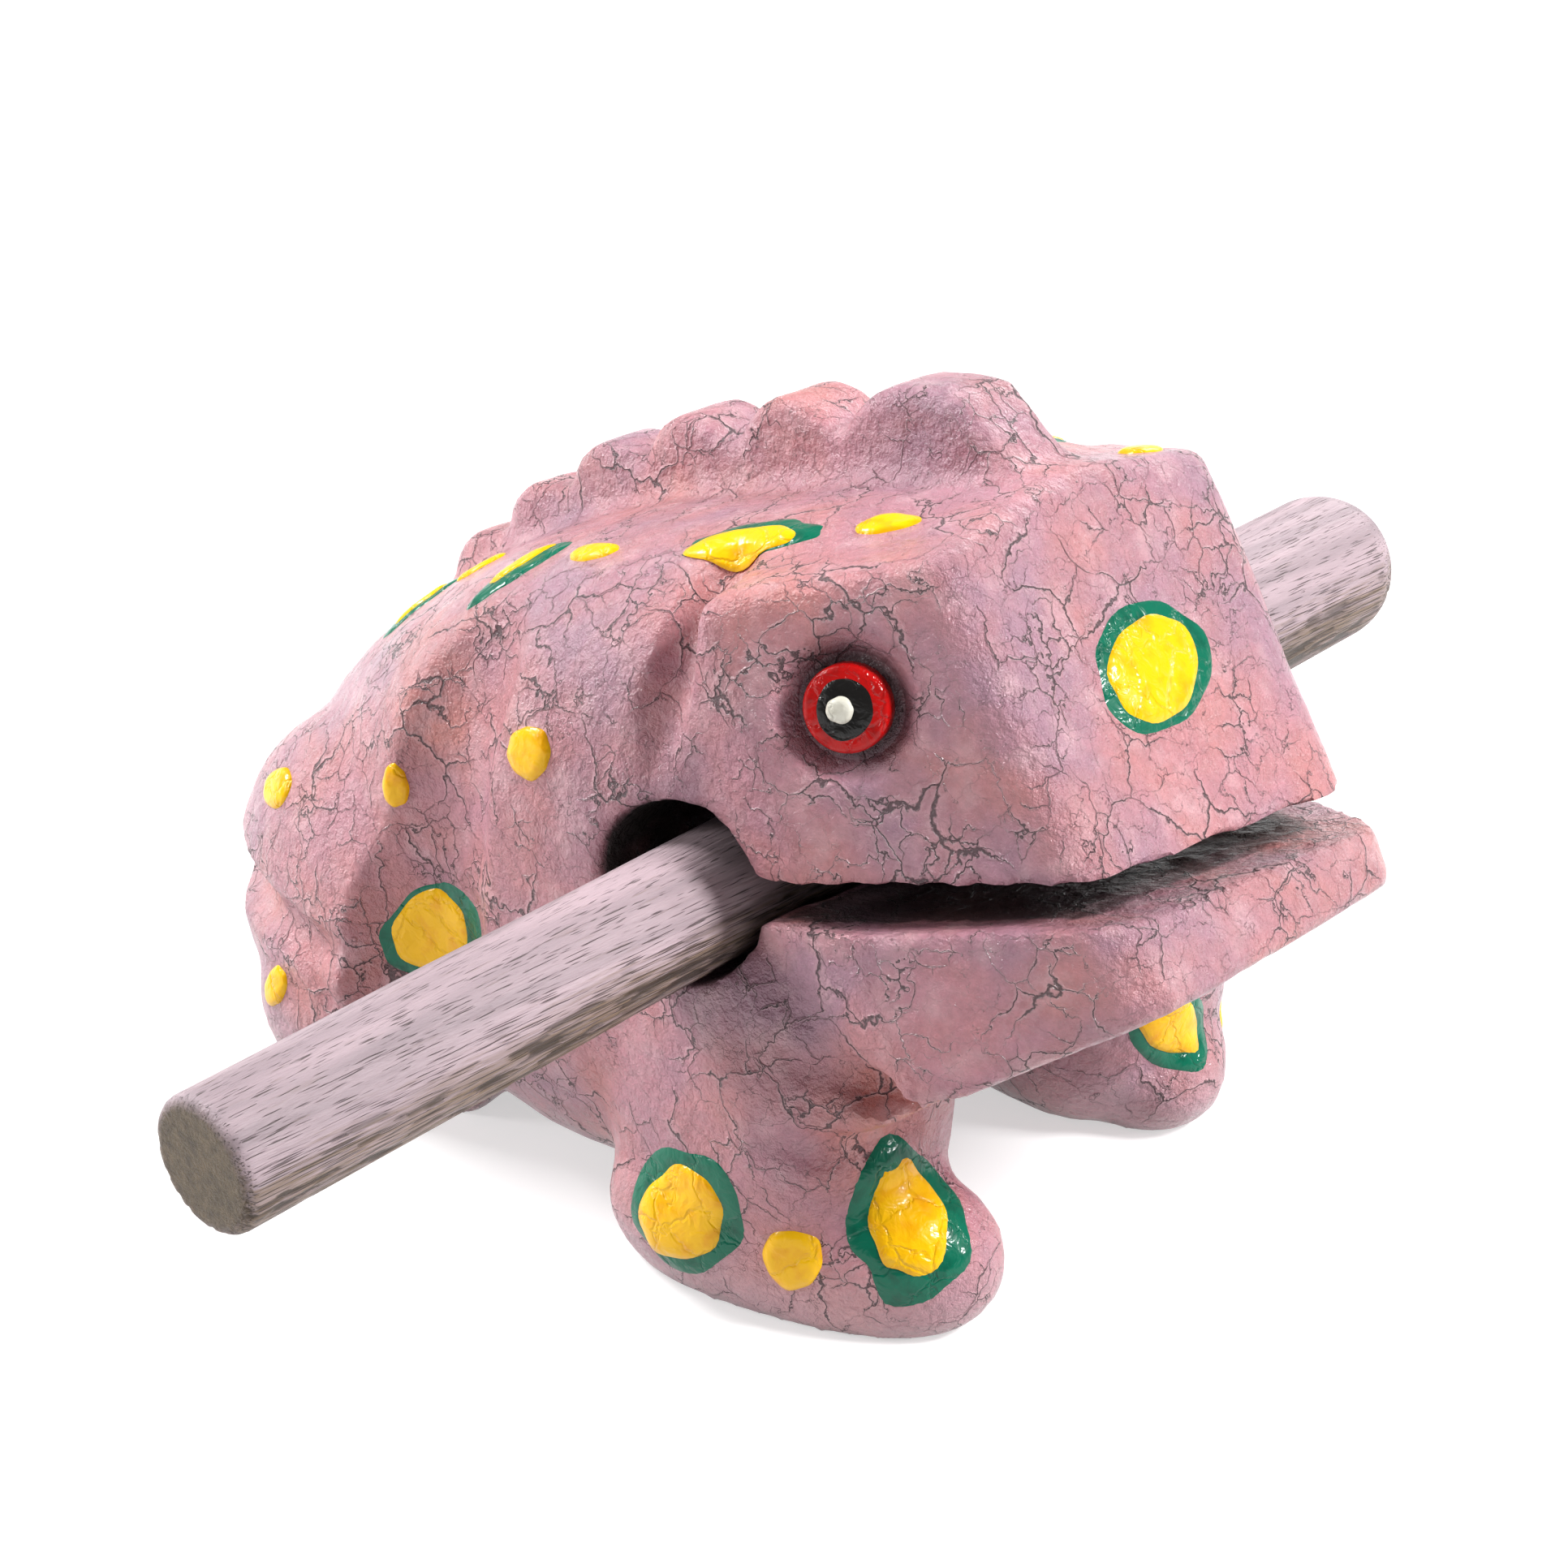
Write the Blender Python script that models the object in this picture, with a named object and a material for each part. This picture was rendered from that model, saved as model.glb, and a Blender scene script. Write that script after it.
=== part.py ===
"""Frog guiro: a carved wooden frog with a notched back, and the stick that rubs or strikes it.

The frog sits on its flat base and faces +X. The rasp stick lies across it in a bore along Y.
Everything is in metres. The origin is on the base, in the frog's middle plane.
"""
from math import cos, pi, radians, sin, tan

import bmesh
import bpy
from mathutils import Matrix, Vector

MM = 0.001
RIGHT, LEFT = -1, 1

# Torso, from rump to breast
RUMP_X = -51.0 * MM
BREAST_X = 25.0 * MM
TORSO_HALF_WIDTH = 29.0 * MM
SHOULDER_HEIGHT = 61.3 * MM
RUMP_SQUARENESS = 2.1
SHOULDER_SQUARENESS = 3.3

# Stick, thicker at its domed end
STICK_OVERHANG = 42.0 * MM
STICK_LENGTH = 133.0 * MM
STICK_THIN_D = 10.0 * MM
STICK_THICK_D = 13.4 * MM
STICK_SWELL_LENGTH = 12.0 * MM
STICK_EDGE = 0.9 * MM
STICK_DOME = 6.0 * MM
STICK_TILT = radians(2.8)
STICK_SKEW = radians(0.5)
STICK_OFFSET = 0.4 * MM
STICK_CLEARANCE = 0.45 * MM
STICK_SIDES = 28

# Bore for the stick
BORE_X = 10.9 * MM
BORE_Z = 33.0 * MM
BORE_PLAY = 4.0 * MM
BORE_D = STICK_THIN_D + BORE_PLAY
BORE_ALLOWANCE = 0.4 * MM

# Sawn mouth, which opens into the bore
MOUTH_GAP = 2.3 * MM
MOUTH_FLARE = 0.5
MOUTH_DROP = 2.4 * MM
MOUTH_RISE = radians(15.0)
MOUTH_LEAN = radians(4.6)

# Head, a block trimmed by straight facets
HEAD_HEIGHT = SHOULDER_HEIGHT + 1.8 * MM
HEAD_BACK_X = BORE_X - 0.7 * MM
HEAD_HALF_WIDTH = TORSO_HALF_WIDTH - 3.5 * MM
HEAD_SHIFT = -1.2 * MM
SNOUT_TOP_X = BORE_X + 13.6 * MM
SNOUT_LEAN = radians(36.2)
CROWN_RISE = radians(17.2)
CROWN_FALL = radians(8.6)
CHEEK_TURN = radians(24.4)
CHEEK_LEAN = radians(14.5)
CHEEK_INSET = 8.3 * MM
CORNER_FLAT = 2.2 * MM
CHIN_RISE = radians(37.0)
CHIN_FRONT_Z = 33.0 * MM
JAW_PROUD = 1.1 * MM
THROAT_RISE = radians(50.0)
THROAT_DROP = 6.5 * MM

# Eyes, a low boss in a turned ring groove
EYE_X = BORE_X + 11.1 * MM
EYE_Z = BORE_Z + 17.2 * MM
EYE_BOSS_D = 6.6 * MM
EYE_GROOVE_WIDTH = 0.8 * MM
EYE_BEVEL = 1.4 * MM
EYE_GROOVE_DEPTH = 1.4 * MM

# Comb of teeth along the back
COMB_THICKNESS = 7.4 * MM
COMB_FLARE = 0.5 * MM
COMB_HEIGHT = 6.9 * MM
COMB_ROOT = 4.0 * MM
COMB_FRONT_X = SNOUT_TOP_X - 2.1 * MM
COMB_RAMP = radians(45.0)
FRONT_TOOTH_LENGTH = 4.8 * MM
TOOTH_COUNT = 6
TOOTH_PITCH = 12.4 * MM
TOOTH_SHRINK = 0.93
TOOTH_CROWN = 0.7
NOTCH_SHARE = 0.62
COMB_FALL = 0.37 * MM

# Front legs and feet
ARM_X = BORE_X + 3.0 * MM
ARM_SPREAD = TORSO_HALF_WIDTH - 11.0 * MM
ARM_Z = 16.0 * MM
ARM_SIZE = Vector((13.4, 10.6, 17.5)) * MM
HAND_X = ARM_X + 5.0 * MM
HAND_SPREAD = TORSO_HALF_WIDTH - 9.0 * MM
HAND_Z = 4.5 * MM
HAND_SIZE = Vector((16.3, 8.0, 7.5)) * MM
HAND_TURN = radians(20.0)
LEFT_HAND_SET_BACK = 5.0 * MM
LEFT_HAND_SET_OUT = 2.5 * MM

# Hind legs and feet
THIGH_FRONT_X = -20.5 * MM
THIGH_SPREAD = TORSO_HALF_WIDTH - 11.0 * MM
THIGH_Z = 13.0 * MM
THIGH_SIZE = Vector((27.8, 13.5, 20.5)) * MM
THIGH_SQUARENESS = 2.0
FOOT_X = THIGH_FRONT_X - 6.0 * MM
FOOT_SPREAD = TORSO_HALF_WIDTH - 5.5 * MM
FOOT_Z = 5.0 * MM
FOOT_SIZE = Vector((13.0, 7.5, 7.5)) * MM

# Gouge strokes: round section, run as shares of the limb's half sizes from its middle
HIP_GOUGE = 9.0 * MM
HIP_STROKE = ((0.22, 0.92, 2.35), (0.22, 0.86, 1.79), (0.21, 1.04, 1.45), (0.21, 1.18, 1.13),
              (0.21, 1.27, 0.59), (0.21, 1.19, -0.12), (0.21, 1.09, -0.83))
ANKLE_GOUGE = 3.0 * MM
ANKLE_STROKE = ((-0.98, 0.36, 0.0), (-0.77, 0.67, 0.02), (-0.52, 0.96, 0.04),
                (-0.27, 1.06, 0.05), (-0.06, 1.19, 0.13))
TOE_GOUGE = 1.8 * MM
TOE_STROKE = ((-0.19, 1.14, 1.05), (0.19, 1.17, 0.53), (0.58, 1.17, -0.15))
NECK_GOUGE = 2.4 * MM
NECK_STROKE = ((-0.05, 0.60, 0.94), (-0.01, 0.78, 0.872), (0.01, 0.90, 0.78), (0.02, 1.00, 0.68))
ELBOW_GOUGE = 2.4 * MM
ELBOW_STROKE = ((1.12, -0.10, 0.03), (1.04, 0.60, 0.03), (0.76, 1.00, 0.03), (0.46, 1.22, 0.05))
ARMPIT_GOUGE = 2.2 * MM
ARMPIT_STROKE = ((1.52, 0.30, 0.50), (1.22, 0.58, 0.43), (0.90, 0.84, 0.43), (0.50, 1.16, 0.46))

# Fineness of the carved surface
CARVING_GRAIN = 0.7 * MM
EDGE_GRAIN = 0.55 * MM
BLEND_STEPS = 7
SAND_STEPS = 3
THIN_RATIO = 0.034


def clear_scene():
    """Remove every object of the open file."""
    for thing in list(bpy.data.objects):
        bpy.data.objects.remove(thing, do_unlink=True)


def wood_finish(name, colour, roughness):
    """Make a plain painted wood material."""
    material = bpy.data.materials.new(name)
    material.use_nodes = True
    shader = material.node_tree.nodes["Principled BSDF"]
    shader.inputs["Base Color"].default_value = (*colour, 1.0)
    shader.inputs["Roughness"].default_value = roughness
    shader.inputs["Metallic"].default_value = 0.0
    return material


def add_object(name, form, cutter=False):
    """Put a bmesh in the scene as an object and free it."""
    mesh = bpy.data.meshes.new(name)
    form.to_mesh(mesh)
    form.free()
    thing = bpy.data.objects.new(name, mesh)
    bpy.context.scene.collection.objects.link(thing)
    if cutter:
        thing.hide_render = True
        thing.display_type = "WIRE"
    return thing


def smooth_between(rows, steps):
    """Run a Catmull-Rom curve through rows of numbers, with some steps in each span."""
    ends = [rows[0]] + list(rows) + [rows[-1]]
    result = []
    for span in range(len(rows) - 1):
        a, b, c, d = ends[span:span + 4]
        for step in range(steps):
            t = step / steps
            result.append([
                0.5 * (2 * q + (r - p) * t + (2 * p - 5 * q + 4 * r - s) * t * t
                       + (3 * q - p - 3 * r + s) * t * t * t)
                for p, q, r, s in zip(a, b, c, d)])
    result.append(list(rows[-1]))
    return result


def signed_power(value, power):
    """Raise a number's size to a power and keep its sign."""
    return abs(value) ** power * (1 if value >= 0 else -1)


def squared_ring(half_width, half_height, squareness, count):
    """Give the points of a superellipse, from +Y over the top."""
    turns = [2 * pi * index / count for index in range(count)]
    return [(half_width * signed_power(cos(a), 2 / squareness),
             half_height * signed_power(sin(a), 2 / squareness)) for a in turns]


def circle(radius, count):
    """Give the points of a circle."""
    turns = [2 * pi * index / count for index in range(count)]
    return [(radius * cos(a), radius * sin(a)) for a in turns]


def loft(rings):
    """Skin closed rings of points into one closed shell."""
    form = bmesh.new()
    rows = [[form.verts.new(point) for point in ring] for ring in rings]
    count = len(rows[0])
    for first, second in zip(rows, rows[1:]):
        for index in range(count):
            after = (index + 1) % count
            form.faces.new((first[index], first[after], second[after], second[index]))
    form.faces.new(rows[0][::-1])
    form.faces.new(rows[-1])
    bmesh.ops.recalc_face_normals(form, faces=form.faces)
    return form


# Share of the torso's length, of its half width, height of back and height of belly
TORSO_ROWS = (
    (0.00, 0.20, 0.37, 0.21),
    (0.04, 0.43, 0.435, 0.10),
    (0.11, 0.64, 0.530, 0.02),
    (0.22, 0.82, 0.637, -0.02),
    (0.36, 0.95, 0.750, -0.02),
    (0.51, 1.00, 0.838, -0.02),
    (0.67, 0.99, 0.912, -0.02),
    (0.80, 0.92, 0.966, 0.05),
    (0.91, 0.78, 0.99, 0.20),
    (1.00, 0.58, 0.985, 0.34),
)


def torso_rows(steps):
    """Give position, half width, back height and belly height along the torso."""
    length = BREAST_X - RUMP_X
    return [(RUMP_X + length * along, TORSO_HALF_WIDTH * wide,
             SHOULDER_HEIGHT * top, SHOULDER_HEIGHT * low)
            for along, wide, top, low in smooth_between(TORSO_ROWS, steps)]


def squareness_at(x):
    """Give the torso's squareness, rounder at the rump than at the shoulders."""
    share = (x - RUMP_X) / (BREAST_X - RUMP_X)
    return RUMP_SQUARENESS + (SHOULDER_SQUARENESS - RUMP_SQUARENESS) * min(1.0, 1.6 * share)


def torso():
    """Loft the torso through squared rings from rump to breast."""
    rings = []
    for x, half_width, top, low in torso_rows(4):
        middle, half_height = (top + low) / 2, (top - low) / 2
        ring = squared_ring(half_width, half_height, squareness_at(x), 48)
        rings.append([(x, across, middle + upward) for across, upward in ring])
    return loft(rings)


def box(low, high):
    """Make a box between two corners."""
    form = bmesh.new()
    bmesh.ops.create_cube(form, size=1.0)
    bmesh.ops.scale(form, vec=high - low, verts=form.verts)
    bmesh.ops.translate(form, vec=(low + high) / 2, verts=form.verts)
    return form


def trim(form, planes):
    """Trim a solid by planes, each given as a point on it and its outward direction."""
    for point, normal in planes:
        everything = form.verts[:] + form.edges[:] + form.faces[:]
        cut = bmesh.ops.bisect_plane(form, geom=everything, plane_co=point, plane_no=normal,
                                     clear_outer=True, dist=1e-7)
        edges = [item for item in cut["geom_cut"] if isinstance(item, bmesh.types.BMEdge)]
        if edges:
            bmesh.ops.edgenet_fill(form, edges=edges)
    bmesh.ops.recalc_face_normals(form, faces=form.faces)
    return form


def cheek_plane(side):
    """Give the eye facet's plane on one side, through the middle of the eye."""
    normal = Vector((sin(CHEEK_TURN) * cos(CHEEK_LEAN), side * cos(CHEEK_TURN) * cos(CHEEK_LEAN),
                     sin(CHEEK_LEAN)))
    across = HEAD_SHIFT + side * (TORSO_HALF_WIDTH - CHEEK_INSET)
    return Vector((EYE_X, across, EYE_Z)), normal


def snout_plane():
    """Give the snout facet's plane."""
    normal = Vector((cos(SNOUT_LEAN), 0.0, sin(SNOUT_LEAN)))
    return Vector((SNOUT_TOP_X, HEAD_SHIFT, HEAD_HEIGHT)), normal


def chin_plane():
    """Give the plane of the chin's sloping underside."""
    drop = HEAD_HEIGHT - CHIN_FRONT_Z
    front = Vector((SNOUT_TOP_X + drop * tan(SNOUT_LEAN), 0.0, CHIN_FRONT_Z))
    return front, Vector((sin(CHIN_RISE), 0.0, -cos(CHIN_RISE)))


def corner_plane(side):
    """Give the narrow flat between the eye facet and the snout facet."""
    eye_point, eye_normal = cheek_plane(side)
    snout_point, snout_normal = snout_plane()
    normal = (eye_normal + snout_normal).normalized()
    along = eye_normal.cross(snout_normal).normalized()
    inward = (eye_point - snout_point).dot(eye_normal)
    slide = snout_normal.cross(along).normalized()
    edge = snout_point + slide * (inward / slide.dot(eye_normal))
    half_angle = eye_normal.angle(snout_normal) / 2
    return edge - normal * (CORNER_FLAT / 2 * tan(half_angle)), normal


def mouth_turn():
    """Give the tilt of the mouth."""
    return Matrix.Rotation(-MOUTH_LEAN, 4, "X") @ Matrix.Rotation(-MOUTH_RISE, 4, "Y")


def mouth_place():
    """Give the point in the bore where the mouth starts."""
    return Vector((BORE_X, 0.0, BORE_Z - MOUTH_DROP))


def head_block(proud, further):
    """Trim the head to its eye, snout, corner and chin facets, and by further planes."""
    planes = [snout_plane()]
    for side in (RIGHT, LEFT):
        planes += [cheek_plane(side), corner_plane(side)]
    planes = [(point + normal * proud, normal) for point, normal in planes]
    planes.append(chin_plane())
    throat = Vector((BORE_X, 0.0, BORE_Z - THROAT_DROP))
    planes.append((throat, Vector((-sin(THROAT_RISE), 0.0, -cos(THROAT_RISE)))))
    low = Vector((HEAD_BACK_X, -HEAD_HALF_WIDTH, 0.0))
    high = Vector((3 * BREAST_X, HEAD_HALF_WIDTH, 2 * HEAD_HEIGHT))
    return trim(box(low, high), planes + further)


def head():
    """Make the head with its two crown facets."""
    top = Vector((COMB_FRONT_X, 0.0, HEAD_HEIGHT))
    crown = [(top, Vector((-tan(CROWN_RISE), side * tan(CROWN_FALL), 1.0)).normalized())
             for side in (RIGHT, LEFT)]
    return head_block(0.0, crown)


def jaw():
    """Make the lower jaw, a little proud of the head at its front and sides."""
    above = mouth_turn().to_3x3() @ Vector((0.0, 0.0, 1.0))
    return head_block(JAW_PROUD, [(mouth_place(), above)])


def lump(size, place, turn=Matrix.Identity(3), squareness=2.0):
    """Make a rounded lump, a superellipsoid of three half sizes."""
    form = bmesh.new()
    bmesh.ops.create_uvsphere(form, u_segments=40, v_segments=24, radius=1.0)
    for vert in form.verts:
        direction = vert.co.normalized()
        grow = sum(abs(part) ** squareness for part in direction) ** (-1 / squareness)
        vert.co = place + turn @ Vector([part * grow * half for part, half in zip(direction, size)])
    return form


def arm_place(side):
    """Give the middle of an upper arm."""
    return Vector((ARM_X, side * ARM_SPREAD, ARM_Z))


def thigh_place(side):
    """Give the middle of a thigh's round, at its front."""
    return Vector((THIGH_FRONT_X, side * THIGH_SPREAD, THIGH_Z))


def foot_place(side):
    """Give the middle of a hind foot."""
    return Vector((FOOT_X, side * FOOT_SPREAD, FOOT_Z))


def hand(side):
    """Make one front foot, long and turned in at the toe."""
    place = Vector((HAND_X, side * HAND_SPREAD, HAND_Z))
    if side == LEFT:
        place += Vector((-LEFT_HAND_SET_BACK, LEFT_HAND_SET_OUT, 0.0))
    return lump(HAND_SIZE, place, Matrix.Rotation(-side * HAND_TURN, 3, "Z"), 2.3)


def thigh(side):
    """Make one thigh, round behind and cut straight in front."""
    place = thigh_place(side)
    ground = Vector((place.x, place.y, -FOOT_Z))
    return trim(lump(THIGH_SIZE, place, squareness=THIGH_SQUARENESS),
                [(place, Vector((1.0, 0.0, 0.0))), (ground, Vector((0.0, 0.0, -1.0)))])


def limbs(side):
    """Make the arm, hand, thigh and hind foot of one side."""
    return [lump(ARM_SIZE, arm_place(side), squareness=3.0), hand(side), thigh(side),
            lump(FOOT_SIZE, foot_place(side), squareness=2.6)]


def back_line():
    """Walk along the back from the comb's front, giving the distance, place and outward direction."""
    rows = [(x, top) for x, _, top, _ in torso_rows(12)]
    points = [Vector((x, 0.0, top)) for x, top in reversed(rows) if x < COMB_FRONT_X]
    points.insert(0, Vector((COMB_FRONT_X, 0.0, points[0].z)))
    walk, travelled = [], 0.0
    for before, point, after in zip(points, points[1:], points[2:]):
        travelled += (point - before).length
        along = (after - before).normalized()
        walk.append((travelled, point, Vector((along.z, 0.0, -along.x))))
    return walk


def tooth_height(travelled):
    """Give the comb's height at a distance along the back, or None past the last tooth."""
    ramp = COMB_HEIGHT / tan(COMB_RAMP)
    front = ramp + FRONT_TOOTH_LENGTH
    if travelled < front:
        return COMB_HEIGHT * min(1.0, travelled / ramp)
    start, pitch, height = front - TOOTH_PITCH / 2, TOOTH_PITCH, COMB_HEIGHT
    for tooth in range(TOOTH_COUNT):
        if travelled < start + pitch:
            wave = abs(sin(pi * (travelled - start) / pitch)) ** TOOTH_CROWN
            return height * (1 - NOTCH_SHARE * (1 - wave))
        start += pitch
        pitch *= TOOTH_SHRINK
        height -= COMB_FALL * tooth
    return None


def comb():
    """Skin the comb of teeth that follows the back."""
    rings = []
    narrow = COMB_THICKNESS / 2
    wide = narrow + COMB_FLARE
    for travelled, point, outward in back_line():
        height = tooth_height(travelled)
        if height is None:
            break
        foot = point - outward * COMB_ROOT
        tip = point + outward * height
        rings.append([foot + Vector((0, -wide, 0)), tip + Vector((0, -narrow, 0)),
                      tip + Vector((0, narrow, 0)), foot + Vector((0, wide, 0))])
    return loft(rings)


def joined(forms):
    """Put several bmeshes in one."""
    whole = bmesh.new()
    for form in forms:
        mesh = bpy.data.meshes.new("form")
        form.to_mesh(mesh)
        form.free()
        whole.from_mesh(mesh)
        bpy.data.meshes.remove(mesh)
    return whole


def bore_cut(diameter):
    """Make the cutter of the bore, long enough for both flanks."""
    rings = [[Vector((BORE_X + x, y, BORE_Z + z)) for x, z in circle(diameter / 2, 48)]
             for y in (-2 * TORSO_HALF_WIDTH, 2 * TORSO_HALF_WIDTH)]
    return loft(rings)


def mouth_cut():
    """Make the cutter of the sawn mouth, a little wider where it meets the bore."""
    length, reach, half_gap = 3 * BREAST_X, 2 * TORSO_HALF_WIDTH, MOUTH_GAP / 2
    form = box(Vector((0.0, -reach, -half_gap)), Vector((length, reach, half_gap)))
    for vert in form.verts:
        if vert.co.x < length / 2:
            vert.co.z *= 1 + MOUTH_FLARE
    turn = Matrix.Translation(mouth_place()) @ mouth_turn()
    bmesh.ops.transform(form, matrix=turn, verts=form.verts)
    return form


def eye_cut(side):
    """Make the ring cutter that leaves the eye as a boss in a turned groove."""
    place, normal = cheek_plane(side)
    turn = normal.to_track_quat("Z", "Y").to_matrix()
    boss = EYE_BOSS_D / 2
    floor = boss + EYE_GROOVE_WIDTH
    rim = floor + EYE_BEVEL
    lift = 2 * EYE_GROOVE_DEPTH
    profile = ((boss, lift), (boss, -EYE_GROOVE_DEPTH), (floor, -EYE_GROOVE_DEPTH),
               (rim, 0.0), (rim, lift))
    form = bmesh.new()
    rows = []
    for across, along in circle(1.0, 48):
        rows.append([form.verts.new(place + turn @ Vector((radius * across, radius * along, height)))
                     for radius, height in profile])
    for first, second in zip(rows, rows[1:] + rows[:1]):
        for step in range(len(profile)):
            after = (step + 1) % len(profile)
            form.faces.new((first[step], second[step], second[after], first[after]))
    bmesh.ops.recalc_face_normals(form, faces=form.faces)
    return form


def gouge(radius, place, size, side, stroke):
    """Make a round gouge stroke whose path is given as shares of a limb's half sizes."""
    points = [place + Vector((x * size.x, side * y * size.y, z * size.z)) for x, y, z in stroke]
    rings = []
    across = (points[1] - points[0]).orthogonal()
    for before, point, after in zip([points[0]] + points, points, points[1:] + [points[-1]]):
        along = (after - before).normalized()
        across = (across - along * across.dot(along)).normalized()
        beside = along.cross(across)
        rings.append([point + across * x + beside * y for x, y in circle(radius, 20)])
    return loft(rings)


def carving_cuts():
    """Make every gouge stroke, and the bore a little small for its later drilling."""
    cuts = {"bore": bore_cut(BORE_D - BORE_ALLOWANCE)}
    neck_size = Vector((BREAST_X, TORSO_HALF_WIDTH, SHOULDER_HEIGHT))
    neck_place = Vector((HEAD_BACK_X - NECK_GOUGE, 0.0, 0.0))
    for side, word in ((RIGHT, "right"), (LEFT, "left")):
        arm, thigh, foot = arm_place(side), thigh_place(side), foot_place(side)
        cuts["hip_" + word] = gouge(HIP_GOUGE, thigh, THIGH_SIZE, side, HIP_STROKE)
        cuts["ankle_" + word] = gouge(ANKLE_GOUGE, thigh, THIGH_SIZE, side, ANKLE_STROKE)
        cuts["toe_" + word] = gouge(TOE_GOUGE, foot, FOOT_SIZE, side, TOE_STROKE)
        cuts["neck_" + word] = gouge(NECK_GOUGE, neck_place, neck_size, side, NECK_STROKE)
        cuts["elbow_" + word] = gouge(ELBOW_GOUGE, arm, ARM_SIZE, side, ELBOW_STROKE)
        cuts["armpit_" + word] = gouge(ARMPIT_GOUGE, arm, ARM_SIZE, side, ARMPIT_STROKE)
    return cuts


def stick_stations():
    """Give distance along the stick and radius there."""
    thin, thick = STICK_THIN_D / 2, STICK_THICK_D / 2
    stations = [(0.0, thin - STICK_EDGE), (0.3 * STICK_EDGE, thin - 0.3 * STICK_EDGE),
                (STICK_EDGE, thin)]
    start = STICK_OVERHANG + 2 * TORSO_HALF_WIDTH
    for step in range(7):
        share = step / 6
        blend = share * share * (3 - 2 * share)
        stations.append((start + STICK_SWELL_LENGTH * share, thin + (thick - thin) * blend))
    dome = STICK_LENGTH - STICK_DOME
    for step in range(8):
        angle = pi / 2 * step / 8
        stations.append((dome + STICK_DOME * sin(angle), thick * cos(angle) ** 0.8))
    stations.append((STICK_LENGTH, thick / 8))
    return stations


def stick():
    """Revolve the stick about its own axis and lay it on the bore's floor."""
    form = loft([[Vector((x, along, z)) for x, z in circle(radius, STICK_SIDES)]
                 for along, radius in stick_stations()])
    rest = BORE_Z - (BORE_D - STICK_THIN_D) / 2 + STICK_CLEARANCE
    lay = Matrix.Rotation(STICK_SKEW, 4, "Z") @ Matrix.Rotation(STICK_TILT, 4, "X")
    back_off = Matrix.Translation((0.0, -STICK_OVERHANG, 0.0))
    mouth = Matrix.Translation((BORE_X + STICK_OFFSET, -TORSO_HALF_WIDTH, rest))
    bmesh.ops.transform(form, matrix=mouth @ lay @ back_off, verts=form.verts)
    return form


def add_modifier(thing, name, kind, **settings):
    """Add a modifier with its settings."""
    modifier = thing.modifiers.new(name, kind)
    for setting, value in settings.items():
        setattr(modifier, setting, value)


def carve(body):
    """Blend the rough lumps and carve them, leaving the modifiers live."""
    add_modifier(body, "union", "REMESH", mode="VOXEL", voxel_size=CARVING_GRAIN)
    add_modifier(body, "blend", "SMOOTH", factor=0.5, iterations=BLEND_STEPS)
    strokes = bpy.data.collections.new("carving_strokes")
    bpy.context.scene.collection.children.link(strokes)
    for name, form in carving_cuts().items():
        cutter = add_object(name, form, cutter=True)
        bpy.context.scene.collection.objects.unlink(cutter)
        strokes.objects.link(cutter)
    add_modifier(body, "carve", "BOOLEAN", operation="DIFFERENCE", operand_type="COLLECTION",
                 collection=strokes, solver="EXACT")
    add_modifier(body, "soften", "REMESH", mode="VOXEL", voxel_size=EDGE_GRAIN)
    add_modifier(body, "sand", "SMOOTH", factor=0.5, iterations=SAND_STEPS)
    add_modifier(body, "thin", "DECIMATE", ratio=THIN_RATIO)


def true_up(body):
    """Saw the base and the mouth, drill the bore round and turn the eyes."""
    reach = Vector((2 * STICK_LENGTH, 2 * STICK_LENGTH, SHOULDER_HEIGHT))
    ground = box(-reach, Vector((reach.x, reach.y, 0.0)))
    for name, form in (("base_cut", ground), ("bore_wall", bore_cut(BORE_D)),
                       ("mouth_kerf", mouth_cut()), ("eye_right", eye_cut(RIGHT)),
                       ("eye_left", eye_cut(LEFT))):
        cutter = add_object(name, form, cutter=True)
        add_modifier(body, name, "BOOLEAN", operation="DIFFERENCE", object=cutter, solver="EXACT")


def build():
    """Build the frog and its stick."""
    clear_scene()
    body = add_object("frog_body", joined([torso(), head(), jaw(), comb()]
                                          + limbs(RIGHT) + limbs(LEFT)))
    carve(body)
    true_up(body)
    body.data.materials.append(wood_finish("painted_wood", (0.42, 0.24, 0.30), 0.35))
    rasp_stick = add_object("rasp_stick", stick())
    rasp_stick.data.materials.append(wood_finish("washed_wood", (0.40, 0.34, 0.36), 0.6))


build()
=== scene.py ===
"""Looks of a carved wooden frog guiro: crackled lacquer, thick paint spots and a lime-washed stick."""
import logging
import math
import random
from dataclasses import dataclass
from enum import Enum

import bpy
from mathutils import Matrix, Vector, noise
from mathutils.bvhtree import BVHTree


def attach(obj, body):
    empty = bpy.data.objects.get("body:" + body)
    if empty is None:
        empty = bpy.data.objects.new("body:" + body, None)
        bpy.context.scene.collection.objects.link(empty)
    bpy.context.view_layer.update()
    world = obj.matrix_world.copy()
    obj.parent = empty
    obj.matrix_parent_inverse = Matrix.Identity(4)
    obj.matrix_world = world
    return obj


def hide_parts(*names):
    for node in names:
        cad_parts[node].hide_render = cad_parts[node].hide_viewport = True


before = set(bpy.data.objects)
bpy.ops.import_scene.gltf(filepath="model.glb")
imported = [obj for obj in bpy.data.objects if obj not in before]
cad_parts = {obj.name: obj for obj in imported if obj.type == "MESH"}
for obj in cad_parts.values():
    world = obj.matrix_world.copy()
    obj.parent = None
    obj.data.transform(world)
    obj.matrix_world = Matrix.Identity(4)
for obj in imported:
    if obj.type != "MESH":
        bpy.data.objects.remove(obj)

LOG = logging.getLogger("frog_guiro")
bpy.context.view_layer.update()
MM = 0.001


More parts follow.
